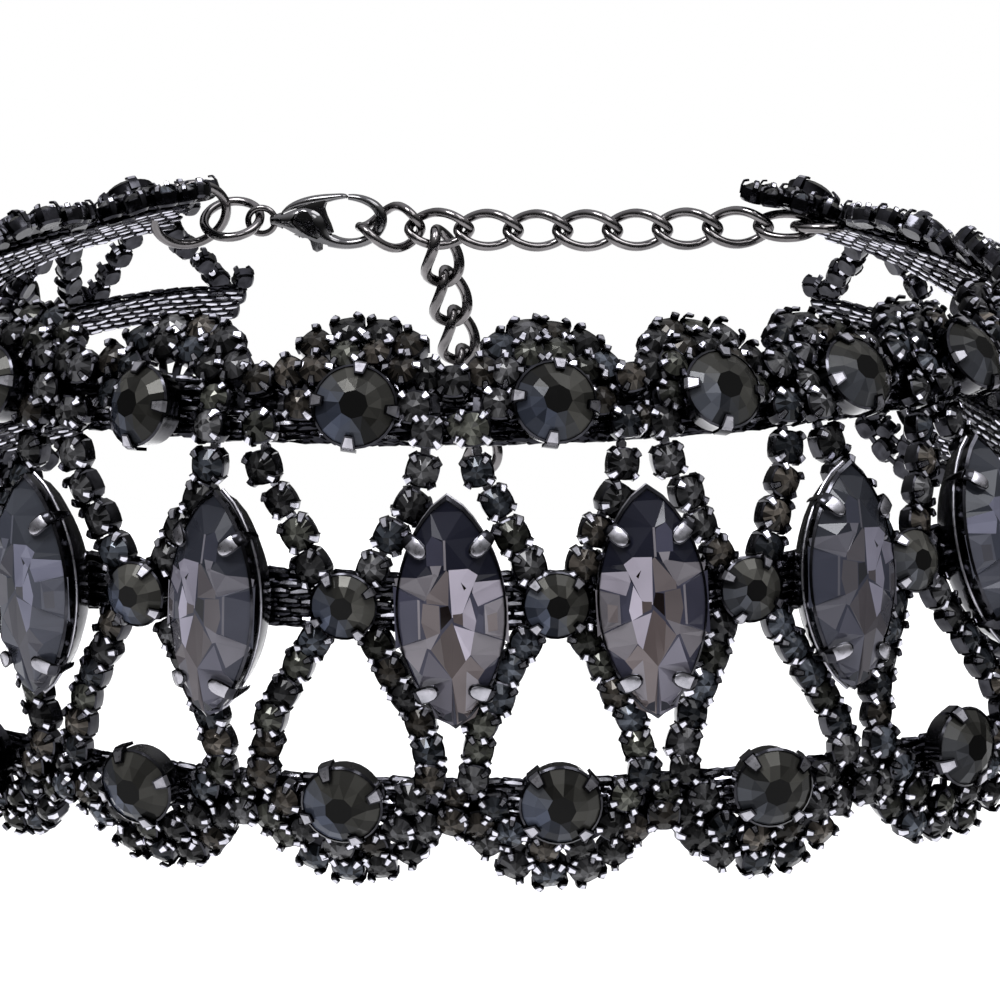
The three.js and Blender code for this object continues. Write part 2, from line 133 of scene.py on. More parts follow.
# ---- meshes made in bulk ----
class Form:
    """A small mesh: vertices, faces, and a material number for each face."""

    def __init__(self):
        self.points, self.faces, self.materials = [], [], []

    def add(self, points, faces, material=0):
        start = len(self.points)
        self.points += [tuple(p) for p in points]
        for face in faces:
            self.faces.append(tuple(start + i for i in face))
            self.materials.append(material)
        return self


def rings(levels, capped=True):
    """Points and outward faces of a solid through closed rings of points, from low to high."""
    count = len(levels[0])
    points = [p for level in levels for p in level]
    faces = []
    for k in range(len(levels) - 1):
        for i in range(count):
            j = (i + 1) % count
            a, b = k * count, (k + 1) * count
            faces.append((a + i, a + j, b + j, b + i))
    faces.append(tuple(range(count - 1, -1, -1)))
    if capped:
        faces.append(tuple((len(levels) - 1) * count + i for i in range(count)))
    return points, faces


def neighbours(path, k):
    return path[max(k - 1, 0)], path[min(k + 1, len(path) - 1)]


def add_object(name, data):
    made = bpy.data.objects.new(name, data)
    bpy.context.scene.collection.objects.link(made)
    return made


def add_mesh(name, points, faces):
    mesh = bpy.data.meshes.new(name)
    mesh.from_pydata([tuple(p) for p in points], [], faces)
    return add_object(name, mesh)


def declare(piece, body, replaces):
    """Ties a piece to its CAD body and the CAD nodes it stands for."""
    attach(piece, body)
    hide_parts(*replaces)


AS_MADE = ([np.eye(3)], [(0, 0, 0)])  # axes and origin of a form that is already in its place


class Batch:
    """Copies of forms gathered into one mesh, each with a tint of its own."""

    def __init__(self):
        self.points, self.loops, self.sizes, self.materials, self.tints = [], [], [], [], []
        self.count = 0

    def place(self, form, axes, origins, scales=None, tints=None, facet_spread=0.0):
        """Adds a copy of the form at each origin. Each facet's tint varies by up to facet_spread."""
        axes, origins = np.asarray(axes, float), np.asarray(origins, float)
        copies = len(origins)
        base = np.array(form.points, float)
        if scales is not None:
            axes = axes * np.asarray(scales, float).reshape(copies, 1, 1)
        moved = np.einsum("kij,nj->kni", axes, base) + origins[:, None]
        self.points.append(moved.reshape(-1, 3))
        loops = np.concatenate([np.array(f) for f in form.faces])
        shift = self.count + np.arange(copies) * len(base)
        self.loops.append((loops[None] + shift[:, None]).ravel())
        sizes = np.array([len(f) for f in form.faces])
        self.sizes.append(np.tile(sizes, copies))
        self.materials.append(np.tile(np.array(form.materials), copies))
        if tints is None:
            tints = np.ones((copies, 3))
        tints = np.repeat(np.asarray(tints, float), len(sizes), axis=0)
        if facet_spread:
            spread = np.random.RandomState(self.count % 9973).uniform(-1, 1, len(tints))
            tints = tints * (1 + facet_spread * spread)[:, None]
        self.tints.append(tints)
        self.count += copies * len(base)
        return self

    def build(self, name, materials, slot="band_metal", replaces=("band",), sharp=35):
        """Makes the piece, with its edges sharp from that many degrees, or all of them for None."""
        mesh = bpy.data.meshes.new(name)
        points = np.concatenate(self.points) * MM
        loops = np.concatenate(self.loops)
        sizes = np.concatenate(self.sizes)
        mesh.vertices.add(len(points))
        mesh.vertices.foreach_set("co", points.astype(np.float32).ravel())
        mesh.loops.add(len(loops))
        mesh.loops.foreach_set("vertex_index", loops.astype(np.int32))
        mesh.polygons.add(len(sizes))
        mesh.polygons.foreach_set("loop_start", (np.cumsum(sizes) - sizes).astype(np.int32))
        mesh.polygons.foreach_set("material_index", np.concatenate(self.materials).astype(np.int32))
        mesh.update(calc_edges=True)
        colour = mesh.attributes.new("tint", "FLOAT_COLOR", "CORNER")
        tints = np.repeat(np.concatenate(self.tints), sizes, axis=0)
        opaque = np.hstack([tints, np.ones((len(tints), 1))])
        colour.data.foreach_set("color", opaque.astype(np.float32).ravel())
        mesh.polygons.foreach_set("use_smooth", np.full(len(sizes), sharp is not None))
        if sharp is not None:
            mesh.set_sharp_from_angle(angle=radians(sharp))
        for material in materials:
            mesh.materials.append(material)
        declare(add_object(name, mesh), "choker", replaces)


# ---- materials ----
def new_material(name):
    material = bpy.data.materials.new(name)
    material.use_nodes = True
    nodes, links = material.node_tree.nodes, material.node_tree.links
    return material, nodes, links, nodes["Principled BSDF"]


def noise(nodes, links, scale, detail=3.0):
    where = nodes.new("ShaderNodeTexCoord")
    texture = nodes.new("ShaderNodeTexNoise")
    texture.inputs["Scale"].default_value = scale
    texture.inputs["Detail"].default_value = detail
    links.new(where.outputs["Object"], texture.inputs["Vector"])
    return texture


def ramp(nodes, links, source, stops):
    """A colour ramp through stops, each a position and a colour."""
    node = nodes.new("ShaderNodeValToRGB")
    elements = node.color_ramp.elements
    while len(elements) < len(stops):
        elements.new(0.5)
    for element, (position, colour) in zip(elements, stops):
        element.position = position
        element.color = (*colour, 1)
    links.new(source, node.inputs["Fac"])
    return node


def uneven_polish(nodes, links, shader, texture, roughness, full):
    """Roughness that rises as the texture goes from 0.3 to full."""
    low, high = roughness
    polish = ramp(nodes, links, texture.outputs["Fac"], [(0.3, (low,) * 3), (full, (high,) * 3)])
    links.new(polish.outputs["Color"], shader.inputs["Roughness"])


def metal(name, dark, light, roughness, scale=900.0, bump=0.15):
    """Plated metal with a slightly uneven tone, polish and surface."""
    material, nodes, links, shader = new_material(name)
    cloud = noise(nodes, links, scale)
    tone = ramp(nodes, links, cloud.outputs["Fac"], [(0.3, dark), (0.7, light)])
    links.new(tone.outputs["Color"], shader.inputs["Base Color"])
    shader.inputs["Metallic"].default_value = 1.0
    fine = noise(nodes, links, scale * 3, 5.0)
    uneven_polish(nodes, links, shader, fine, roughness, 0.75)
    relief = nodes.new("ShaderNodeBump")
    relief.inputs["Strength"].default_value = bump
    relief.inputs["Distance"].default_value = 0.05 * MM
    links.new(fine.outputs["Fac"], relief.inputs["Height"])
    links.new(relief.outputs["Normal"], shader.inputs["Normal"])
    return material


def cut_glass(name, metallic, roughness, gloss=0.12):
    """Smoky foiled glass: the mesh's tint gives each facet its smoky colour and a painted reflection of
    what it throws back, under a polished face.
    """
    material, nodes, links, shader = new_material(name)
    cloud = noise(nodes, links, 260, 2.0)
    shade = ramp(nodes, links, cloud.outputs["Fac"], [(0.35, (0.88,) * 3), (0.65, (1.06,) * 3)])
    mix = nodes.new("ShaderNodeMix")
    mix.data_type = "RGBA"
    mix.blend_type = "MULTIPLY"
    mix.inputs[0].default_value = 1.0
    tint = nodes.new("ShaderNodeAttribute")
    tint.attribute_name = "tint"
    links.new(tint.outputs["Color"], mix.inputs[6])
    links.new(shade.outputs["Color"], mix.inputs[7])
    links.new(mix.outputs[2], shader.inputs["Base Color"])
    shader.inputs["Metallic"].default_value = metallic
    uneven_polish(nodes, links, shader, noise(nodes, links, 900), roughness, 0.8)
    shader.inputs["Specular IOR Level"].default_value = gloss
    shader.inputs["Coat Weight"].default_value = gloss / 1.5
    shader.inputs["Coat Roughness"].default_value = 0.02
    return material


CUP_METAL = metal("cup_metal", (0.015, 0.015, 0.018), (0.045, 0.045, 0.053), (0.08, 0.22))
# a lighter copy of the plated metal, for the painted highlights on the small cups' claws; the lattice
# links are made of it too
PRONG_HIGHLIGHT_METAL = metal("prong_highlight_metal", (0.4, 0.4, 0.45), (0.68, 0.67, 0.75), (0.12, 0.28))
# a lighter copy of the plated metal, for the painted highlights on the large claws and the marquise cups
CLAW_HIGHLIGHT_METAL = metal("claw_highlight_metal", (0.24, 0.24, 0.265), (0.44, 0.43, 0.475), (0.24, 0.38))
WEAVE_METAL = metal("weave_metal", (0.008, 0.008, 0.011), (0.03, 0.03, 0.036), (0.1, 0.24))
# a lighter copy of the plated metal, for the painted highlights along the woven loops
EDGE_HIGHLIGHT_METAL = metal("edge_highlight_metal", (0.34, 0.34, 0.385), (0.66, 0.65, 0.73), (0.14, 0.3))
CHAIN_METAL = metal("chain_metal", (0.1, 0.095, 0.097), (0.19, 0.18, 0.183), (0.08, 0.2), 400, 0.08)
CLASP_METAL = metal("clasp_metal", (0.1, 0.1, 0.104), (0.18, 0.176, 0.18), (0.06, 0.18), 300, 0.05)
SMALL_GLASS = cut_glass("small_stone_glass", 0.3, (0.06, 0.2))
ROUND_GLASS = cut_glass("round_stone_glass", 0.12, (0.05, 0.16), 0.05)
MARQUISE_GLASS = cut_glass("marquise_glass", 0.15, (0.03, 0.12))

# ---- forms ----
def rounded_square(half, power, count, z, scale=1.0):
    """Points of a square whose corners are rounder the lower the power is."""
    points = []
    for i in range(count):
        a = 2 * pi * (i + 0.5) / count
        r = half / (abs(cos(a)) ** power + abs(sin(a)) ** power) ** (1 / power)
        points.append((scale * r * cos(a), scale * r * sin(a), z))
    return points


def circle(radius, count, z, phase=0.0):
    angles = [2 * pi / count * (i + phase) for i in range(count)]
    return [(radius * cos(a), radius * sin(a), z) for a in angles]


def sideways(path, k, distance):
    """A step of that length to the outer side of a path of (radius, z) points, at its point k."""
    (r0, z0), (r1, z1) = neighbours(path, k)
    length = hypot(r1 - r0, z1 - z0)
    return (z1 - z0) / length * distance, -(r1 - r0) / length * distance


def part_way(start, end, share):
    return start[0] + share * (end[0] - start[0]), start[1] + share * (end[1] - start[1])


TIP_SHARE = 0.62  # a tab's width at its tip


def tab(path, width, thick, angle):
    """A flat strip of metal along a path of (radius, z) points, in the upright plane at angle."""
    c, w = cos(angle), sin(angle)
    levels = []
    for k, (r, z) in enumerate(path):
        step_r, step_z = sideways(path, k, thick / 2)
        half = width / 2 * (TIP_SHARE if k == len(path) - 1 else 1)
        ring = []
        for side, face in ((-1, 1), (1, 1), (1, -1), (-1, -1)):
            reach = r + face * step_r
            ring.append((reach * c - side * half * w, reach * w + side * half * c, z + face * step_z))
        levels.append(ring)
    return rings(levels)


def claw(path, width, angle, thick=0.15, bright=0.62):
    """A dark claw with a painted highlight on the face of its tip, a bright solid standing just proud of
    it: two solids.
    """
    face = []
    for k, (r, z) in enumerate(path[-3:]):
        step_r, step_z = sideways(path[-3:], k, thick / 2)
        face.append((r + step_r, z + step_z))
    start, knee, end = face
    # the painted highlight: a bright strip over the claw's knee towards its tip
    highlight_face = [part_way(knee, start, 0.6), knee, part_way(knee, end, 0.86)]
    return tab(path, width, thick, angle), tab(highlight_face, width * bright, 0.07, angle)


def with_claws(form, claws):
    """The form with claws added, each a dark solid and a bright one that is a painted highlight."""
    for dark, bright in claws:
        form.add(*dark)
        form.add(*bright, material=1)
    return form


def cup_form():
    """A small square cup with four claws bent in over its stone's edge. Its base is at z 0."""
    wall = [(0.74, 0.0), (0.94, 0.2), (1.0, 0.75), (1.0, 1.12), (0.9, 1.2), (0.82, 1.02)]
    path = [(1.1, 0.5), (1.17, 1.15), (1.05, 1.55), (0.68, 1.7)]
    form = Form().add(*rings([rounded_square(1.0, 3.4, 16, z, scale) for scale, z in wall]))
    return with_claws(form, [claw(path, 0.5, pi / 4 + k * pi / 2) for k in range(4)])


def small_stone_form():
    """Eight-sided stone with its girdle at z 1.2: a low peak, crown and pavilion."""
    table = circle(0.42, 8, 1.56, 0.5)
    girdle = circle(0.92, 16, 1.2)
    culet, peak = 24, 25
    faces = [(i, (i + 1) % 8, peak) for i in range(8)]
    for i in range(8):
        j = (i + 1) % 8
        e, e1, e2 = (8 + (2 * i + n) % 16 for n in (1, 2, 3))
        faces += [(i, e, e1), (i, e1, j), (j, e1, e2)]
    faces += [(8 + (i + 1) % 16, 8 + i, culet) for i in range(16)]
    return Form().add(table + girdle + [(0, 0, 0.45), (0.04, -0.03, 1.68)], faces)


def round_stone_form(radius, crown):
    """Round cut stone with its girdle at z 0: a small table with two rings of facets fanned round it."""
    table = circle(0.36 * radius, 8, crown)
    middle = circle(0.68 * radius, 16, crown * 0.66)
    edge = circle(radius, 32, 0.0)
    low = circle(radius * 0.96, 32, -0.35)
    faces = [tuple(range(8))]
    for i in range(8):
        j = (i + 1) % 8
        m, m1, m2 = (8 + (2 * i + n) % 16 for n in range(3))
        faces += [(i, m, m1), (i, m1, j), (j, m1, m2)]
    for i in range(16):
        e, e1, e2 = (24 + (2 * i + n) % 32 for n in range(3))
        faces.append((8 + i, e, e1, e2, 8 + (i + 1) % 16))
    faces += [(56 + i, 56 + (i + 1) % 32, 24 + (i + 1) % 32, 24 + i) for i in range(32)]
    faces.append(tuple(56 + i for i in range(31, -1, -1)))
    return Form().add(table + middle + edge + low, faces)


def round_cup_form(radius, height, claw_width):
    """Round cup with four claws, its base at z 0 and its lip at the stone's girdle."""
    wall = [(0.7, 0.0), (0.9, 0.15), (0.98, 0.8), (1.03, 1), (0.98, 1.06), (0.9, 0.9)]
    bend = [(1.04, -0.9), (1.07, -0.1), (1.0, 0.34), (0.75, 0.7)]
    path = [(radius * r, height + z) for r, z in bend]
    form = Form().add(*rings([circle(radius * scale, 32, height * up) for scale, up in wall]))
    return with_claws(form, [claw(path, claw_width, k * pi / 2, 0.22, 0.76) for k in range(4)])


def navette(length, width, count, z, scale=1.0):
    """Pointed oval, anticlockwise from its lower tip."""
    points = []
    for i in range(count):
        along = (i % (count // 2)) / (count // 2)
        side = 1 if i < count // 2 else -1
        y = side * (-length / 2 + length * along)
        x = side * width / 2 * (1 - (2 * along - 1) ** 2) ** MARQUISE["fullness"]
        points.append((x * scale, y * scale, z))
    return points


# painted reflections on the face of a marquise stone, what it throws back: the cast of each facet, and
# its corners. A later facet lies over an earlier one, and the rest is navy above and slate below
NAVY, SLATE, MIST = (0.009, 0.0095, 0.016), (0.036, 0.036, 0.054), (0.105, 0.1, 0.125)
GREY, PALE = (0.15, 0.14, 0.157), (0.33, 0.305, 0.365)
BROWN, UMBER, INK = (0.11, 0.094, 0.097), (0.07, 0.056, 0.056), (0.007, 0.005, 0.005)
MARQUISE_FACETS = (
    (SLATE, ((-1.4, 3.4), (-1.4, 4.7), (-1.0, 5.3), (-0.35, 4.9), (-0.3, 3.4))),
    (GREY, ((-0.3, 5.0), (-0.15, 5.0), (-0.15, 3.1), (-0.3, 3.1))),
    (GREY, ((-1.2, 3.4), (-0.45, 3.4), (-0.7, 2.7), (-1.0, 2.7))),
    (GREY, ((-3.6, 2.4), (-2.1, 2.6), (-0.9, 2.9), (-0.7, 2.75), (-1.6, 1.1), (-3.5, 1.9))),
    (BROWN, ((-0.15, 3.1), (0, 2.9), (-0.1, 0.8), (-1.5, 0.95), (-1.5, 1.4))),
    (SLATE, ((-3.7, 1.9), (-2.1, 1.2), (-2.15, -1.45), (-3.7, -2.3))),
    (GREY, ((-2.1, 1.2), (-1.95, 1.15), (-2.0, -1.4), (-2.15, -1.45))),
    (BROWN, ((-1.75, 0.95), (-0.7, 0.8), (-0.7, -1.0), (-1.6, -1.45), (-1.9, -0.3))),
    (PALE, ((0, 3.1), (1.25, 3.15), (1.85, 2.7), (1.35, 1.6), (0.8, 0.3), (0.1, 0))),
    (INK, ((0.75, 2.3), (1.1, 1.9), (0.95, 1.75))),
    (PALE, ((1.6, 2.25), (3.3, 2.1), (3.5, 1.1), (1.8, 0.65), (1.45, 1.6))),
    (SLATE, ((1.35, 1.4), (1.5, 1.5), (1.8, 0.2), (2.1, 0), (2.05, -1.1), (1.6, -0.9), (1.65, -0.3))),
    (PALE, ((0.8, 0.3), (1.3, 1.3), (1.65, -0.3), (1.5, -1.0), (0.8, -0.6))),
    (GREY, ((2.2, 0.7), (3.7, 1.0), (3.7, -2.1), (2.2, -1.2))),
    (BROWN, ((2.35, 0), (3.0, 0.1), (3.0, -1.1), (2.4, -1.1))),
    (INK, ((-0.65, 0.7), (-0.1, 0.8), (0.1, 0), (-0.65, -0.8))),
    (UMBER, ((0.15, 0.2), (0.8, 0.25), (0.8, -0.55), (0.2, -0.3))),
    (BROWN, ((0.1, -0.3), (-1.35, -2.1), (-0.07, -4.1))),
    (UMBER, ((0.1, -0.3), (-0.7, -1.2), (-0.5, -3.3), (-0.07, -4.1), (0.87, -2.9))),
    (GREY, ((-3.5, -2.2), (-0.75, -1.0), (-1.35, -2.1), (-1.6, -2.0), (-2.2, -3.7), (-3.3, -2.6))),
    (PALE, ((0.2, -0.5), (1.5, -1.0), (1.2, -2.5), (0.87, -2.9))),
    (GREY, ((1.5, -1.0), (3.5, -2.05), (3.1, -2.9), (2.0, -3.65), (1.2, -2.5))),
    (MIST, (
        (-1.5, -2.2), (-0.07, -4.1), (-0.1, -7.6), (-1.3, -7), (-1.6, -5.9), (-2.4, -5.2), (-2.0, -3.9))),
    (BROWN, (
        (0.87, -2.9), (1.2, -2.6), (2.05, -3.65), (1.6, -4.25), (1.9, -5.6), (1.3, -7), (0.1, -7.6),
        (-0.07, -4.1))),
    (GREY, ((0.9, -3.6), (1.6, -4.25), (1.8, -5.4), (1.1, -6.3), (0.7, -6.4))),
    (NAVY, ((-0.85, -6.9), (-0.6, -6.6), (-0.2, -6.45), (-0.2, -7.2), (-0.6, -7.1))),
    (NAVY, ((0.2, -6.45), (0.6, -6.6), (0.85, -6.95), (0.2, -7.25))),
)


def inside(x, y, corners):
    """Whether a level line from the point to the right crosses the outline an odd number of times."""
    odd = False
    for k, (x1, y1) in enumerate(corners):
        x0, y0 = corners[k - 1]
        if (y0 > y) != (y1 > y) and x < x0 + (y - y0) * (x1 - x0) / (y1 - y0):
            odd = not odd
    return odd


def marquise_stone_form(seed, mirrored):
    """A marquise stone and the tints of its facets, which are painted reflections: the zones of its face
    cut into a low crown.
    """
    draw = random.Random(seed)
    length, width, girdle, top = (MARQUISE[k] for k in ("length", "width", "girdle", "top"))
    sign = -1 if mirrored else 1
    zones = [(cast, [(sign * x, y) for x, y in corners]) for cast, corners in MARQUISE_FACETS]
    outline = [(x, y) for x, y, _ in navette(length, width, 36, 0)]
    points, edges = [], []
    for corners in [outline] + [corners for _, corners in zones]:
        start, count = len(points), len(corners)
        points += [Vector(p) for p in corners]
        edges += [(start + i, start + (i + 1) % count) for i in range(count)]
    only_inside, nearness = 1, 1e-4
    border = [list(range(len(outline)))]
    flat_points, _, faces, *_ = delaunay_2d_cdt(points, edges, border, only_inside, nearness)
    kept, tints = [], []
    shades = [draw.uniform(0.7, 1.25) for _ in zones] + [1.0]
    for face in faces:
        x, y = (sum(flat_points[i][n] for i in face) / len(face) for n in (0, 1))
        hits = [k for k, (_, corners) in enumerate(zones) if inside(x, y, corners)]
        cast = zones[hits[-1]][0] if hits else NAVY if y > 1.5 else SLATE
        kept.append(tuple(face))
        tints.append([c * shades[hits[-1] if hits else -1] for c in cast])
    heights = []
    tiny = 1e-6
    for p in flat_points:
        reach = width / 2 * max(tiny, 1 - (2 * p.y / length) ** 2) ** MARQUISE["fullness"]
        outwards = max(abs(p.x) / (reach + tiny), abs(2 * p.y / length))
        rise = max(0.0, 1 - outwards ** 2.2)
        heights.append(girdle + (top - girdle) * rise ** 0.6)
    form = Form().add([(p.x, p.y, z) for p, z in zip(flat_points, heights)], kept)
    rim = [(x, y, girdle) for x, y in outline]
    low = [(x * 0.96, y * 0.96, girdle - 0.5) for x, y in outline]
    points, faces = rings([low, rim], capped=False)
    form.add(points, faces)
    tints += [NAVY] * len(faces)
    return weld(form), np.array(tints)


def weld(form):
    """The same form with its points that coincide made one."""
    keep, index = {}, []
    for p in form.points:
        index.append(keep.setdefault(tuple(round(c, 3) for c in p), len(keep)))
    form.points = list(keep)
    form.faces = [tuple(index[i] for i in face) for face in form.faces]
    return form


# stations of a woven strip's loop: x, half width, half thickness
LOOP = ((-0.9, 0.2, 0.08), (-0.7, 0.37, 0.18), (-0.2, 0.34, 0.24), (0.4, 0.35, 0.22), (0.9, 0.2, 0.08))


def link_form():
    """One flattened loop of the woven strips, long way along x, dark with a painted highlight along its
    top: thin bright solids.
    """
    section = ((1, 0), (0.62, 0.8), (-0.62, 0.8), (-1, 0), (-0.62, -0.8), (0.62, -0.8))
    levels = [[(x, half * a, thick * b) for a, b in section] for x, half, thick in LOOP]
    form = Form().add(*rings(levels))
    # the painted highlight: three thin bright plates just proud of the loop's top
    plate = []
    for x, y, half in ((-0.66, 0.04, 0.07), (-0.1, 0.08, 0.125), (0.54, 0.05, 0.08)):
        low, high = y - half, y + half
        plate.append([(x, high, 0.15), (x, high, 0.21), (x, low, 0.21), (x, low, 0.15)])
    return form.add(*rings(plate), material=1)


# ---- stones of the band ----
# casts of the small grey stones: olive, blue, brown, and two nearly neutral ones
CASTS = ((0.9, 0.92, 0.8), (0.75, 0.85, 1.05), (1.05, 0.92, 0.8), (0.9, 0.9, 0.95), (0.8, 0.8, 0.86))
TOP_ROW = 9  # things higher than this are in the top row, which has slid along its strip
SLID = {"middle": 0.35, "slope": 0.062, "full": 30, "gone": 70}

# arcs of small cups round a large stone, in the half discs above (1) and below (-1) the strips:
# half width, rise, base depth, the cups' size, and where each cup sits on the arc, in degrees
ARCS = {
    1: (
        (5.5, 5.2, 0.35, 1.14, (26, 51, 77, 103, 129, 154)),
        (4.0, 3.5, 0.75, 1.06, (4, 38, 73, 107, 142, 176))),
    -1: (
        (5.75, 6.3, 0.35, 1.14, (25, 47, 72, 95, 119, 143, 160)),
        (4.4, 4.2, 0.75, 1.06, (10, 40, 70, 100, 133, 165))),
}
VALLEY_CUPS = {1: (11.5, 13.9), -1: (-12.75, -14.3)}  # heights of the two cups between half discs

# centres of the cups of a lattice bar: side from the cell's middle, height
UPPER_BAR = ((1.6, 11.3), (1.85, 8.95), (2.8, 6.75), (3.96, 4.6), (5.0, 2.45))
LOWER_BAR = ((4.85, -2.6), (3.95, -4.35), (2.95, -6.2), (2.1, -8.0), (1.6, -9.85), (1.4, -11.6))
END_DRAW = {-9: (-1, 5, 3), 8: (1, 0, 5)}  # the end cells' outer side, draw and swing, as in the part


def stone_tints(count, low, high, seed):
    draw = np.random.RandomState(seed)
    shade = low + (high - low) * draw.uniform(0, 1, count) ** 2
    return np.array(CASTS)[draw.randint(0, len(CASTS), count)] * shade[:, None]


def gathered(s, h):
    """Arc length of a thing at s and h: the top row has slid towards a place right of the middle."""
    slid = (SLID["middle"] - SLID["slope"] * s) * (1 - smooth(SLID["full"], SLID["gone"], np.abs(s)))
    return s + np.where(np.asarray(h) > TOP_ROW, slid, 0)


def on_arc(arc, degrees):
    """A place on an arc, from its stone's centre, and how far out of the band it lies."""
    half_width, rise, base = arc[:3]
    x = half_width * cos(radians(degrees))
    y = rise * sin(radians(degrees))
    return x, y, base - 0.5 * max(0, y - 2) / 4


def scallop_places(side):
    """(s, h, base depth, spin, size) of the small cups of the half discs above or below the strips."""
    places = []
    for cell in CELLS:
        middle = (cell + 0.5) * PITCH
        ends_short = side > 0 and cell == CELLS[-1]
        for arc in ARCS[side]:
            half_width, rise, _, size, angles = arc
            for a in angles:
                x, y, base = on_arc(arc, a)
                if ends_short and x > 2.5:
                    continue
                spin = atan2(y * half_width / rise, x * rise / half_width) - pi / 2
                places.append((middle + x, side * (STRIP_HEIGHT + y), base, side * spin, size))
        low, high = VALLEY_CUPS[side]
        places.append((cell * PITCH, high, 0.9, 0.0, 1.1))
        places.append((cell * PITCH + 0.2, low, 0.95, 0.4, 0.9))
    places = np.array(places)
    places[:, 0] = gathered(places[:, 0], places[:, 1])
    return places


def bar_places():
    """(s, h, base depth, spin, size) of the bars' cups, and (s, h, depth, spin) of the links between."""
    places, tabs = [], []
    for cell in CELLS:
        outer, draw, swing = END_DRAW.get(cell, (0, 0, 0))
        for side in (-1, 1):
            for bar in (UPPER_BAR, LOWER_BAR):
                row = []
                for away, height in bar:
                    near = 1 - abs(height) / STRIP_HEIGHT
                    shift = -draw * (1 - near) + (swing * near if side == outer else 0)
                    row.append((cell * PITCH + side * away + outer * shift, height))
                for k, (s, h) in enumerate(row):
                    (s0, h0), (s1, h1) = neighbours(row, k)
                    spin = atan2(h1 - h0, s1 - s0) - pi / 2
                    base = 0.95 if abs(h) > 10 else 0.6
                    places.append((s, h, base, spin, 1.12 if h > 0 else 1.08))
                for (s0, h0), (s1, h1) in zip(row, row[1:]):
                    tabs.append(((s0 + s1) / 2, (h0 + h1) / 2, 1.0, atan2(h1 - h0, s1 - s0)))
    for end in MIDDLE_ENDS:
        for height in (-1.9, 0.1, 2.1):
            places.append((end * PITCH, height, 0.8, 0.0, 1.0))
    return np.array(places), np.array(tabs)


def strip_places(ends, height, width, layer):
    """(s, h, depth, spin) of the loops of a woven strip, in brick bond, on its back or its front."""
    rows, pitch, margin = 6, 1.5, 0.33
    places = []
    first, last = ends[0] * PITCH, ends[1] * PITCH
    for row in range(rows):
        h = height - width / 2 + margin + row * (width - 2 * margin) / (rows - 1)
        count = int((last - first) / pitch)
        for i in range(count):
            s = first + (i + 0.5 + 0.5 * (row % 2)) * pitch
            depth = (0.62 if layer else 0.18) + rng.uniform(-0.05, 0.05)
            places.append((s, h + rng.uniform(-0.04, 0.04), depth, rng.uniform(-0.12, 0.12)))
    return np.array(places)


def jitter(places, amount, seed):
    draw = np.random.RandomState(seed)
    return places + draw.uniform(-1, 1, places.shape) * np.array(amount)


def scallop_wires(side):
    """Rows of (s, h, depth) along the metal strips that join the small cups of the half discs."""
    rows = []
    for cell in CELLS:
        middle = (cell + 0.5) * PITCH
        ends_short = side > 0 and cell == CELLS[-1]
        for arc in ARCS[side]:
            row = [on_arc(arc, a) for a in range(60 if ends_short else 0, 181, 9)]
            rows.append([(middle + x, side * (STRIP_HEIGHT + y), base + 0.4) for x, y, base in row])
        for a in (65, 90, 115):
            x, y, _ = on_arc(ARCS[side][0], a)
            spoke = [(x * t, y * t) for t in (0.15, 0.45, 0.7, 1.0)]
            rows.append([(middle + x, side * (STRIP_HEIGHT + y), 0.7) for x, y in spoke])
    return [[(float(gathered(s, h)), h, depth) for s, h, depth in row] for row in rows]


def metal_strip(form, row, half_width, half_thick):
    """A flat strip of metal along a row of (s, h, depth), added to the form in its place on the band."""
    axes, origins = surface_frames(*np.array(row).T)
    out = axes[:, :, 2]
    across = unit(np.cross(out, np.gradient(origins, axis=0)))
    levels = []
    for point, a, o in zip(origins, across * half_width, out * half_thick):
        levels.append([point + a + o, point + a - o, point - a - o, point - a + o])
    form.add(*rings(levels))


def place_cups(name, places, seed):
    """Small cups and their stones, as two pieces, each cup a little out of line."""
    scales = places[:, 4] * np.random.RandomState(seed + 3).uniform(0.94, 1.06, len(places))
    places = jitter(places[:, :4], (0.09, 0.09, 0.08, 0.12), seed)
    axes, origins = surface_frames(*places.T)
    turns, rolls = np.random.RandomState(seed + 1).uniform(-0.16, 0.16, (2, len(places)))
    axes = tilted(axes, turns, rolls)
    cups = Batch().place(cup_form(), axes, origins, scales)
    cups.build(name + "_cups", [CUP_METAL, PRONG_HIGHLIGHT_METAL])
    # the stones' own smoky casts; the spread between facets below stands for what each facet reflects, a
    # painted reflection
    tints = stone_tints(len(places), 0.012, 0.085, seed + 2)
    stones = Batch().place(small_stone_form(), axes, origins, scales, tints, 0.9)
    stones.build(name + "_stones", [SMALL_GLASS], "marquise_glass", sharp=None)


place_cups("top_scallop", scallop_places(1), 11)
place_cups("bottom_scallop", scallop_places(-1), 22)
wires = Form()
for wire_row in scallop_wires(1) + scallop_wires(-1):
    metal_strip(wires, wire_row, 0.26, 0.12)
Batch().place(wires, *AS_MADE).build("scallop_wires", [CUP_METAL])
bar_cups, bar_tabs = bar_places()
place_cups("lattice", bar_cups, 33)
# links between the lattice cups, in the lighter metal of the painted highlights
link_levels = ((-0.25, 0.8), (-0.1, 1), (0.1, 1), (0.25, 0.8))
bar_link = Form().add(*rings([rounded_square(0.34, 4, 8, z, scale) for z, scale in link_levels]))
Batch().place(bar_link, *surface_frames(*bar_tabs.T)).build("lattice_links", [PRONG_HIGHLIGHT_METAL])

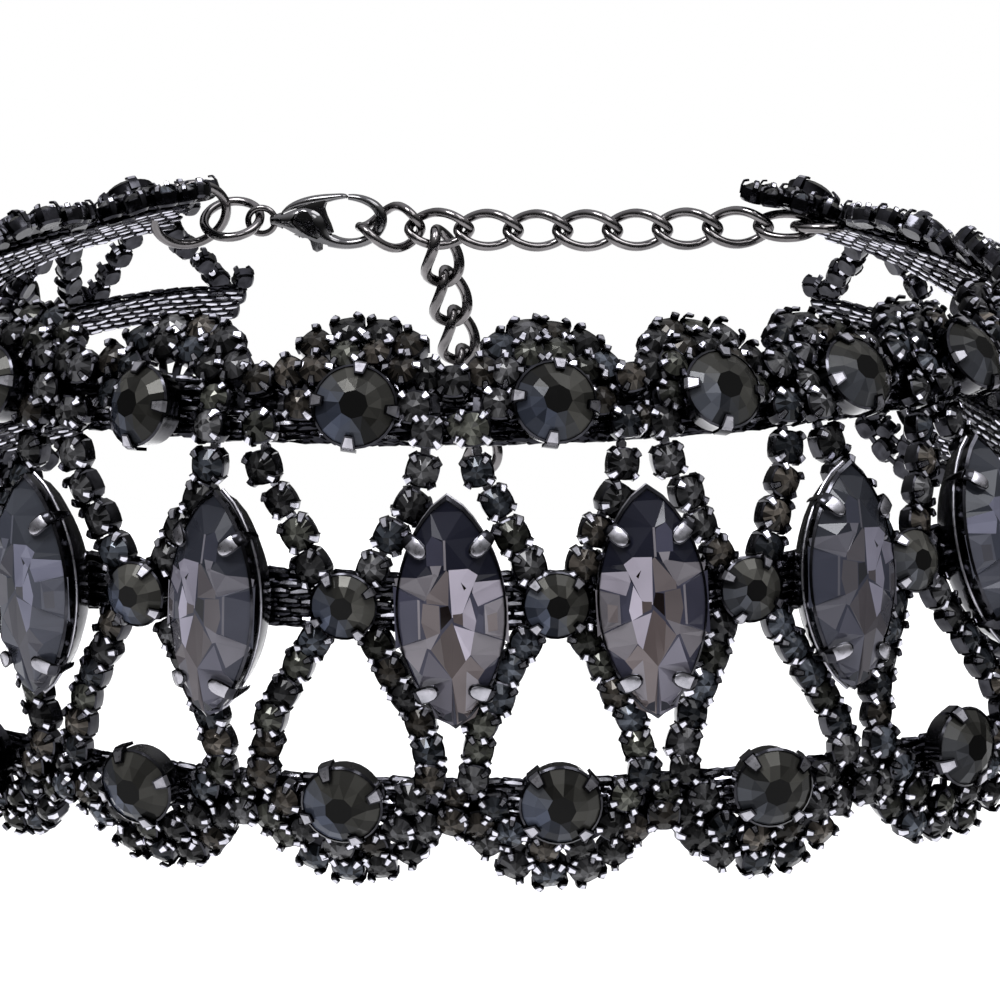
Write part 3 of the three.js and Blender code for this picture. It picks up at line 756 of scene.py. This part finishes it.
for strip_name, strip_ends, strip_height, strip_width in (
        ("top_strip", STRIP_ENDS, STRIP_HEIGHT, STRIP_WIDTH),
        ("middle_strip", MIDDLE_ENDS, 0.0, STRIP_WIDTH),
        ("bottom_strip", STRIP_ENDS, BOTTOM_STRIP["height"], BOTTOM_STRIP["width"])):
    weave = Batch()
    for layer in (0, 1):
        rows = strip_places(strip_ends, strip_height + 0.22 * layer - 0.11, strip_width, layer)
        axes, origins = surface_frames(*rows.T)
        facing = -0.38 if layer else pi + 0.12
        rolls = np.array([Matrix.Rotation(rng.gauss(facing, 0.3), 3, "X") for _ in origins])
        weave.place(link_form(), axes @ rolls, origins)
    weave.build(strip_name, [WEAVE_METAL, EDGE_HIGHLIGHT_METAL], sharp=50)

# ---- large and medium round stones ----
WARM = np.array((0.03, 0.0295, 0.027))
COOL = np.array((0.044, 0.051, 0.073))
HEART = 0.004
BOTTOM_STONE_DROP = 0.45
KNOCKED = CELLS.index(-2)  # this large stone of the top row is turned, and pushed to the left and down


def fan_tints(form, places, seed, spins):
    """Facet by facet, painted reflections: a near-black heart, olive and grey above, blue-grey towards the
    lower left.
    """
    draw = np.random.RandomState(seed)
    centres = np.array([np.mean([form.points[i] for i in face], axis=0) for face in form.faces])
    reach = np.hypot(centres[:, 0], centres[:, 1]) / np.hypot(*np.array(form.points)[:, :2].T).max()
    facing = np.arctan2(centres[:, 1], centres[:, 0])
    sector = (facing / (2 * pi) * 16 + 16.01).astype(int) % 16
    tints = []
    for s, spin in zip(places, spins):
        # painted reflection: facets facing the lower left get a blue-grey cast, fading further round the
        # band, and each sixteenth of the turn its own brightness
        lower_left = np.clip(np.cos(facing + spin - radians(215)), 0, 1)[:, None]
        blue = (1 - 0.65 * smooth(5, 25, s)) * lower_left
        shade = draw.uniform(0.25, 1.5, 16)[sector][:, None] * draw.uniform(0.75, 1.25, (len(centres), 1))
        colour = (WARM * (1 - blue) + COOL * blue) * shade
        # the heart is painted near-black, as the dark reflection at the stone's middle
        tints.append(np.where(reach[:, None] < 0.3, HEART, colour))
    return np.array(tints)


def place_round(name, places, radius, crown, cup_height, claw_width, seed, light=1.0, turns=0.0):
    """Round stones and their cups, as two pieces: places are (s, h, base depth, spin)."""
    s, h, depth, spin = jitter(places, 0.05, seed).T
    axes, origins = surface_frames(s, h, depth, spin)
    draw = np.random.RandomState(seed)
    axes = tilted(axes, draw.uniform(-0.1, 0.1, len(s)) + turns, np.zeros(len(s)))
    cup = round_cup_form(radius * 1.02, cup_height, claw_width)
    Batch().place(cup, axes, origins).build(name + "_settings", [CUP_METAL, CLAW_HIGHLIGHT_METAL])
    form = round_stone_form(radius, crown)
    stones = Batch().place(form, axes, origins + axes[:, :, 2] * cup_height)
    stones.tints = [light * fan_tints(form, s, seed + 5, spin).reshape(-1, 3)]
    stones.build(name + "_stones", [ROUND_GLASS], "marquise_glass", sharp=None)


def stone_row(cells, height, depth, spin, loose, draw):
    """(s, h, depth, spin) of one round stone in the middle of each cell, its spin loose by that much."""
    return [((cell + 0.5) * PITCH, height, depth, spin + draw.uniform(-loose, loose)) for cell in cells]


spin_draw = np.random.RandomState(5)
large = stone_row(CELLS, STRIP_HEIGHT, 1.3, 0, 0.22, spin_draw)
large += stone_row(CELLS, -STRIP_HEIGHT - BOTTOM_STONE_DROP, 1.3, 0.5, 0.22, spin_draw)
large = np.array(large)
large[:, 0] = gathered(large[:, 0], large[:, 1])
large[KNOCKED, :2] += (-0.4, -0.4)
large_turns = np.zeros(len(large))
large_turns[KNOCKED] = -0.33
place_round("large_stone", large, 2.65, 1.0, 2.0, 0.95, seed=41, turns=large_turns)
medium = np.array(stone_row(CELLS[:-1], 0.0, 0.9, pi / 4, 0.3, spin_draw))
place_round("medium_stone", medium, 2.15, 0.85, 1.6, 0.75, seed=51, light=1.45)

# ---- marquise stones ----
# sections of a marquise claw: along its heading, half width, height over the girdle, half thickness
CLAW_DROP = (
    (-0.62, 0.24, -1.3, 0.14), (-0.8, 0.3, -0.3, 0.16), (-0.84, 0.42, 0.3, 0.16), (-0.55, 0.52, 0.7, 0.15),
    (0.0, 0.56, 0.93, 0.14), (0.5, 0.52, 1.08, 0.12), (0.82, 0.36, 1.14, 0.09), (0.95, 0.14, 1.15, 0.05),
)
CLAWS = ((2.15, 4.6, -136), (-2.15, 4.6, -44), (1.85, -5.2, 155), (-1.85, -5.2, 25))  # x, y, heading
SIDE_SHADE = np.array((0.63, 0.68, 0.8))  # painted shade of the stones further round, which are made darker and cooler
# painted shade: these two stones are darkened further
SHADED_STONES = {2: 0.78, 3: 0.78}


def claw_drop(x, y, heading, size, swell, raised):
    """A claw like a flattened drop, from its stem on the cup's wall over the stone's edge."""
    c, w = cos(radians(heading)), sin(radians(heading))
    low = MARQUISE["girdle"]
    levels = []
    for along, half, z, thick in CLAW_DROP:
        cx, cy = x + size * c * along, y + size * w * along
        ring = []
        for a in (2 * pi * k / 10 for k in range(10)):
            across = size * half * cos(a)
            ring.append((cx - w * across, cy + c * across, low + z + swell * thick * sin(a) + raised))
        levels.append(ring)
    return rings(levels)


def marquise_cup_form():
    """Pointed oval cup with a painted highlight line round its wall and four claws, each with a painted
    highlight, its base below the girdle.
    """
    length, width, girdle = MARQUISE["length"], MARQUISE["width"], MARQUISE["girdle"]
    wall = [(0.72, -3.2), (0.9, -2.3), (1, -1), (1.025, -0.35), (1.035, 0), (1, 0.16), (0.975, -0.1)]
    # the painted highlight line round the wall
    line = [(1.015, -1.0), (1.032, -0.94), (1.032, -0.86), (1.02, -0.8)]
    form = Form()
    for material, levels in enumerate((wall, line)):
        ovals = [navette(length, width, 40, girdle + z, scale) for scale, z in levels]
        form.add(*rings(ovals), material=material)
    # the second, smaller and raised drop of each claw is its painted highlight
    claws = [(claw_drop(*spot, 1.0, 1.0, 0.0), claw_drop(*spot, 0.82, 0.4, 0.13)) for spot in CLAWS]
    return with_claws(form, claws)


marquise_cup = marquise_cup_form()
settings = Batch()
for number, cell in enumerate(STONE_CELLS, 1):
    turn, roll = (radians(a) for a in ASKEW.get(cell, (0, 0)))
    axes, origins = surface_frames(cell * PITCH, 0.0)
    axes = tilted(axes, [turn], [roll])
    settings.place(marquise_cup, axes, origins)
    form, tints = marquise_stone_form(100 + number, cell % 2 == 1)
    aside = smooth(0.6, 2.2, abs(cell - 0.4))  # 0 for the two front stones, 1 for those further round, which get painted shade
    # painted shade: the painted reflections of the stones further round are flattened towards their mean,
    # cooled and darkened
    flatter = (0.5 * tints + 0.5 * tints.mean()) * SIDE_SHADE
    tints = (tints * (1 - aside) + flatter * aside) * SHADED_STONES.get(cell, 1)
    stone = Batch().place(form, axes, origins)
    stone.tints = [tints]
    node = f"marquise_stone_{number:02d}"
    stone.build(f"marquise_{number:02d}", [MARQUISE_GLASS], "marquise_glass", [node], sharp=None)
settings.build("marquise_settings", [CUP_METAL, CLAW_HIGHLIGHT_METAL])

# ---- chain ----
LINK = {"length": 6.0, "width": 3.2, "wire": 0.9, "start": -45, "end": 45}
LINK_PITCH = 4.8
HOOKED_LINK = {**LINK, "width": 4.2, "start": -100}
JUMP_RADIUS = 2.75
END_RING = {"wire": 0.95, "bulge": 2.7, "hold": 2.0}
LONG_RING = {"length": 5.6, "width": 3.6, "wire": 0.85}
CHAIN = {"start": Vector((-23.2, 41, 18)), "turn": radians(-7.2), "sag": 0.8, "span": 56, "links": 8}
TAIL_LINK = {**LINK, "width": 3.9, "wire": 1.05}
TAIL = {"links": 6, "lean": radians(29), "drift": radians(9), "along": -0.3, "forward": 0.5}
GAP = 0.3  # between pieces that aren't soldered to each other
HOOK = {"inside": 11.05, "slack": 0.9}  # from the clasp's eye to inside its hook, and room for the link
# places along the chain, from the middle of the jump ring
EYE_AT = JUMP_RADIUS + 0.2
FIRST_LINK_AT = EYE_AT + HOOK["inside"] - HOOK["slack"] - LINK["wire"] / 2 + LINK["length"] / 2
CHAIN_END = FIRST_LINK_AT + (CHAIN["links"] - 1) * LINK_PITCH + LINK["length"] / 2
LONG_RING_AT = CHAIN_END - (LINK["wire"] + LONG_RING["wire"]) / 2 - GAP + LONG_RING["length"] / 2


def wire_loop(node, matrix, length, width, wire, start=0.0, end=0.0, name=None, slot="chain_metal"):
    """A closed oval of round wire along x, twisted about x from start to end degrees."""
    around, steps = 14, 56

    def path(angle):
        along = cos(angle)
        turn = radians(start + (end - start) * (1 + along) / 2)
        y = width / 2 * sin(angle)
        up = Vector((0, -sin(turn), cos(turn)))
        return Vector((length / 2 * along, y * cos(turn), y * sin(turn))), up

    points, faces = [], []
    for i in range(steps):
        angle = 2 * pi * i / steps
        point, up = path(angle)
        tangent = (path(angle + 0.01)[0] - path(angle - 0.01)[0]).normalized()
        up = (up - tangent * up.dot(tangent)).normalized()
        out = tangent.cross(up)
        j = (i + 1) % steps
        for k in range(around):
            a = 2 * pi * k / around
            m = (k + 1) % around
            points.append(matrix @ (point + (out * cos(a) + up * sin(a)) * wire / 2))
            faces.append((i * around + k, j * around + k, j * around + m, i * around + m))
    loop = Batch().place(Form().add(points, faces), *AS_MADE)
    loop.build(name or node + "_wire", [CHAIN_METAL], slot, [node], sharp=80)


def basis(x, y, z, origin):
    """The matrix of a frame with those axes."""
    matrix = Matrix((x, y, z)).transposed().to_4x4()
    matrix.translation = origin
    return matrix


def chain_frame(along):
    """Frame on the sagging chain: x along it, y up."""
    heading = Vector((cos(CHAIN["turn"]), sin(CHAIN["turn"]), 0))
    origin = CHAIN["start"] + heading * along
    origin.z -= CHAIN["sag"] * sin(pi * along / CHAIN["span"])
    up = Vector((0, 0, 1))
    return basis(heading, up, heading.cross(up), origin)


def surface(s, h, depth):
    return Vector(surface_frames(s, h, depth)[1][0])


def end_ring(node, a, b, c):
    """A round ring of wire through three points."""
    ab, ac = b - a, c - a
    cross = ab.cross(ac)
    centre = cross.cross(ab) * ac.length_squared + ac.cross(cross) * ab.length_squared
    centre = centre / (2 * cross.length_squared)
    x, z = (-centre).normalized(), cross.normalized()
    size = 2 * centre.length
    wire_loop(node, basis(x, z.cross(x), z, a + centre), size, size, END_RING["wire"])


left_hole = surface(-8.62 * PITCH, STRIP_HEIGHT, 0.45)
left_end = chain_frame(0) @ Vector((END_RING["hold"] - JUMP_RADIUS, 0, 0))
end_ring("end_ring_left", left_hole, surface(-8.9 * PITCH, 16.0, 1.15), left_end)
right_hole = surface(8.14 * PITCH, STRIP_HEIGHT, 1.0)
right_end = chain_frame(LONG_RING_AT) @ Vector((LONG_RING["length"] / 2 - END_RING["hold"], 0, 0))
inward = Vector((-right_hole.x, -right_hole.y, 0)).normalized()
right_middle = right_hole.lerp(right_end, 0.5) + inward * END_RING["bulge"]
end_ring("end_ring_right", right_hole, right_middle, right_end)

tipped = Matrix.Rotation(radians(-55), 4, "X")
wire_loop("jump_ring", chain_frame(0) @ tipped, 2 * JUMP_RADIUS, 2 * JUMP_RADIUS, 0.9)
wire_loop("long_ring", chain_frame(LONG_RING_AT) @ tipped, **LONG_RING)
for i in range(CHAIN["links"]):
    link = HOOKED_LINK if i == 0 else LINK
    wire_loop(f"chain_link_{i + 1:02d}", chain_frame(FIRST_LINK_AT + i * LINK_PITCH), **link)

# the chain's free end, hanging from the lower wire of the second link
holder = chain_frame(FIRST_LINK_AT + LINK_PITCH + TAIL["along"])
tail_top = holder @ Vector((0, -LINK["width"] / 2 + LINK["wire"] + GAP + 0.12, TAIL["forward"]))
down = Vector((tan(TAIL["drift"]), sin(TAIL["lean"]), -cos(TAIL["lean"]))).normalized()
level = Vector((0, cos(TAIL["lean"]), sin(TAIL["lean"])))
across = Matrix.Rotation(radians(LINK["end"]), 3, down) @ level
for i in range(TAIL["links"]):
    centre = tail_top + down * (LINK["length"] / 2 + i * LINK_PITCH)
    wire_loop(f"tail_link_{i + 1:02d}", basis(down, across, down.cross(across), centre), **TAIL_LINK)

# ---- clasp ----
# stations of the clasp's body and hook in its own plane, from the eye to the hook's tip:
# x, y, half width in the plane, half thickness
CLASP_STATIONS = (
    (0.9, 0.0, 0.45, 0.42), (1.5, 0.05, 0.62, 0.66), (2.3, 0.05, 0.92, 0.92), (3.3, 0.02, 1.36, 1.1),
    (4.3, -0.1, 1.7, 1.15), (5.1, -0.48, 1.72, 1.12), (5.85, -1.25, 1.1, 1.0), (6.8, -1.82, 0.7, 0.85),
    (8.0, -2.12, 0.56, 0.7), (9.2, -2.1, 0.51, 0.62), (10.3, -1.8, 0.51, 0.57), (11.2, -1.15, 0.54, 0.55),
    (11.75, -0.2, 0.58, 0.55), (11.75, 0.8, 0.55, 0.55), (11.15, 1.6, 0.48, 0.55), (10.2, 2.1, 0.42, 0.52),
    (9.3, 2.32, 0.36, 0.46), (8.62, 2.38, 0.29, 0.36),
)
# stations of the lever's jaw, from its end near the eye to its tip
JAW_STATIONS = (
    (2.1, 0.85, 0.12, 0.25), (2.8, 1.32, 0.28, 0.42), (3.8, 1.72, 0.4, 0.5), (5.0, 2.0, 0.47, 0.55),
    (6.2, 2.2, 0.44, 0.56), (7.3, 2.38, 0.33, 0.52), (8.15, 2.46, 0.26, 0.44), (8.5, 2.36, 0.13, 0.3),
)
# outline of the lever's flat plate with its thumb tab
LEVER_PLATE = (
    (3.0, -0.3), (4.2, -1.2), (4.85, -1.9), (5.1, -2.75), (5.5, -2.98), (5.95, -2.8), (5.95, -1.9),
    (6.35, -1.3), (7.1, -1.1), (6.85, -0.3), (6.45, 0.6), (6.25, 1.3), (6.5, 1.95), (6.4, 2.2), (5.0, 1.9),
    (3.6, 1.4),
)
# outlines cut out of the body, each with its half depth: the lever's slot above and below, and the window
CLASP_HOLES = (
    (((2.05, -1.3), (7.3, -1.3), (7.3, 3.2), (2.05, 3.2)), 0.62),
    (((3.75, -4), (6.6, -4), (6.6, 0), (3.75, 0)), 0.62),
    (((2.95, 0.1), (3.4, 0.66), (4.1, 1.08), (4.75, 0.98), (5.25, 0.35), (5.55, -0.6), (6.0, -1.4),
      (5.6, -1.68), (4.7, -1.35), (3.6, -0.62)), 3.0),
)
CLASP_AT = chain_frame(EYE_AT)


def spline(stations, steps):
    """Catmull-Rom points through the stations, with that many steps from each to the next."""
    values = [np.array(s, float) for s in stations]
    made = []
    for i in range(len(values) - 1):
        a, b = values[max(i - 1, 0)], values[i]
        c, d = values[i + 1], values[min(i + 2, len(values) - 1)]
        for t in (k / steps for k in range(steps)):
            bend = (2 * a - 5 * b + 4 * c - d) * t * t
            made.append(0.5 * (2 * b + (c - a) * t + bend + (3 * b - a - 3 * c + d) * t ** 3))
    made.append(values[-1])
    return made


def clasp_sweep(stations):
    """A solid with oval sections through the stations."""
    stations = spline(stations, 4)
    levels = []
    for i, (x, y, half, thick) in enumerate(stations):
        a, b = neighbours(stations, i)
        tangent = unit(np.array((b[0] - a[0], b[1] - a[1])))
        normal = (-tangent[1], tangent[0])
        ring = []
        for k in range(20):
            t = 2 * pi * k / 20
            across, up = half * cos(t), thick * sin(t)
            ring.append((x + normal[0] * across, y + normal[1] * across, up))
        levels.append(ring)
    return rings(levels)


def prism(outline, half):
    """A solid with that outline in the clasp's plane, and that half thickness."""
    points = [(x, y, z) for z in (-half, half) for x, y in outline]
    count = len(outline)
    faces = [tuple(range(count - 1, -1, -1)), tuple(range(count, 2 * count))]
    faces += [(i, (i + 1) % count, count + (i + 1) % count, count + i) for i in range(count)]
    return points, faces


def outward(piece):
    """Turns all faces of a piece outward."""
    made = bmesh.new()
    made.from_mesh(piece.data)
    bmesh.ops.recalc_face_normals(made, faces=made.faces)
    made.to_mesh(piece.data)
    made.free()


def modify(piece, kind, **settings):
    """Makes the result of a modifier with those settings the piece's mesh."""
    modifier = piece.modifiers.new(kind, kind)
    for setting, value in settings.items():
        setattr(modifier, setting, value)
    evaluated = piece.evaluated_get(bpy.context.evaluated_depsgraph_get())
    made = bpy.data.meshes.new_from_object(evaluated)
    piece.modifiers.clear()
    piece.data = made


def finish(piece, body, node):
    outward(piece)
    piece.data.transform(Matrix.Scale(MM, 4) @ CLASP_AT)
    piece.data.materials.clear()
    piece.data.materials.append(CLASP_METAL)
    piece.data.polygons.foreach_set("use_smooth", np.ones(len(piece.data.polygons), bool))
    piece.data.set_sharp_from_angle(angle=radians(40))
    declare(piece, body, [node])


clasp = add_mesh("clasp_hook", *clasp_sweep(CLASP_STATIONS))
outward(clasp)
for outline, half in CLASP_HOLES:
    cutter = add_mesh("cutter", *prism(outline, half))
    outward(cutter)
    modify(clasp, "BOOLEAN", operation="DIFFERENCE", object=cutter, solver="EXACT")
    bpy.data.objects.remove(cutter)
finish(clasp, "choker", "clasp_body")
wire_loop("clasp_body", CLASP_AT, 2.7, 2.5, 0.62, name="clasp_eye", slot="clasp_metal")

lever = add_mesh("clasp_thumb_lever", *prism(LEVER_PLATE, 0.54))
outward(lever)
modify(lever, "BEVEL", width=0.12, segments=3, limit_method="ANGLE", angle_limit=radians(35))
finish(lever, "clasp_lever", "clasp_lever")
finish(add_mesh("clasp_lever_jaw", *clasp_sweep(JAW_STATIONS)), "clasp_lever", "clasp_lever")

# ---- studio ----
FLOOR_DROP = 120.0  # below the band, so that its shadow falls out of the picture
FLOOR_HALF = 0.6  # in metres
corners = [(x * FLOOR_HALF, y * FLOOR_HALF, 0) for x, y in ((-1, -1), (1, -1), (1, 1), (-1, 1))]
floor = add_mesh("floor", corners, [(0, 1, 2, 3)])
floor.location.z = -FLOOR_DROP * MM
floor_paint, *_, shader = new_material("floor_paint")
shader.inputs["Base Color"].default_value = (0.93, 0.93, 0.93, 1)
shader.inputs["Roughness"].default_value = 0.9
floor.data.materials.append(floor_paint)


def point_from(thing, back):
    """Turns a lamp or a camera so that its back is towards that direction."""
    thing.rotation_mode = "QUATERNION"
    thing.rotation_quaternion = back.to_track_quat("Z", "Y")


def sun(name, strength, spread, azimuth, elevation):
    """A soft sun, its disc spread degrees wide. Azimuth 0 is in front, and it grows to the right."""
    light = bpy.data.lights.new(name, "SUN")
    light.energy = strength
    light.angle = radians(spread)
    a, e = radians(azimuth), radians(elevation)
    towards = Vector((sin(a) * cos(e), -cos(a) * cos(e), sin(e)))
    point_from(add_object(name, light), towards)


sun("key", 2.6, 22, -35, 58)
sun("fill", 1.2, 30, 50, 60)
sun("front", 0.25, 14, 14, 38)

world = bpy.data.worlds.new("studio")
bpy.context.scene.world = world
world.use_nodes = True
nodes, links = world.node_tree.nodes, world.node_tree.links
background = nodes["Background"]
where = nodes.new("ShaderNodeTexCoord")
split = nodes.new("ShaderNodeSeparateXYZ")
links.new(where.outputs["Generated"], split.inputs[0])
sky_stops = [(0.0, (0.04,) * 3), (0.25, (0.1,) * 3), (0.55, (0.5,) * 3), (0.9, (1.0, 1.0, 1.06))]
sky = ramp(nodes, links, split.outputs["Z"], sky_stops)
seen = nodes.new("ShaderNodeLightPath")
mix = nodes.new("ShaderNodeMix")
mix.data_type = "RGBA"
mix.inputs[7].default_value = (1, 1, 1, 1)
links.new(seen.outputs["Is Camera Ray"], mix.inputs[0])
links.new(sky.outputs["Color"], mix.inputs[6])
links.new(mix.outputs[2], background.inputs["Color"])
background.inputs["Strength"].default_value = 1.0

bpy.context.scene.view_settings.view_transform = "Standard"

# ---- camera ----
TARGET = Vector((2.96, 0, -2.3))
DISTANCE = 229.0
ELEVATION = radians(10.5)
SENSOR, LENS = 36, 97.92
camera = add_object("camera", bpy.data.cameras.new("camera"))
camera.data.sensor_width = SENSOR
camera.data.lens = LENS
camera.data.clip_start = 0.01
camera.data.clip_end = 20
back = Vector((0, -cos(ELEVATION), sin(ELEVATION)))
camera.location = (TARGET + back * DISTANCE) * MM
point_from(camera, back)
bpy.context.scene.camera = camera
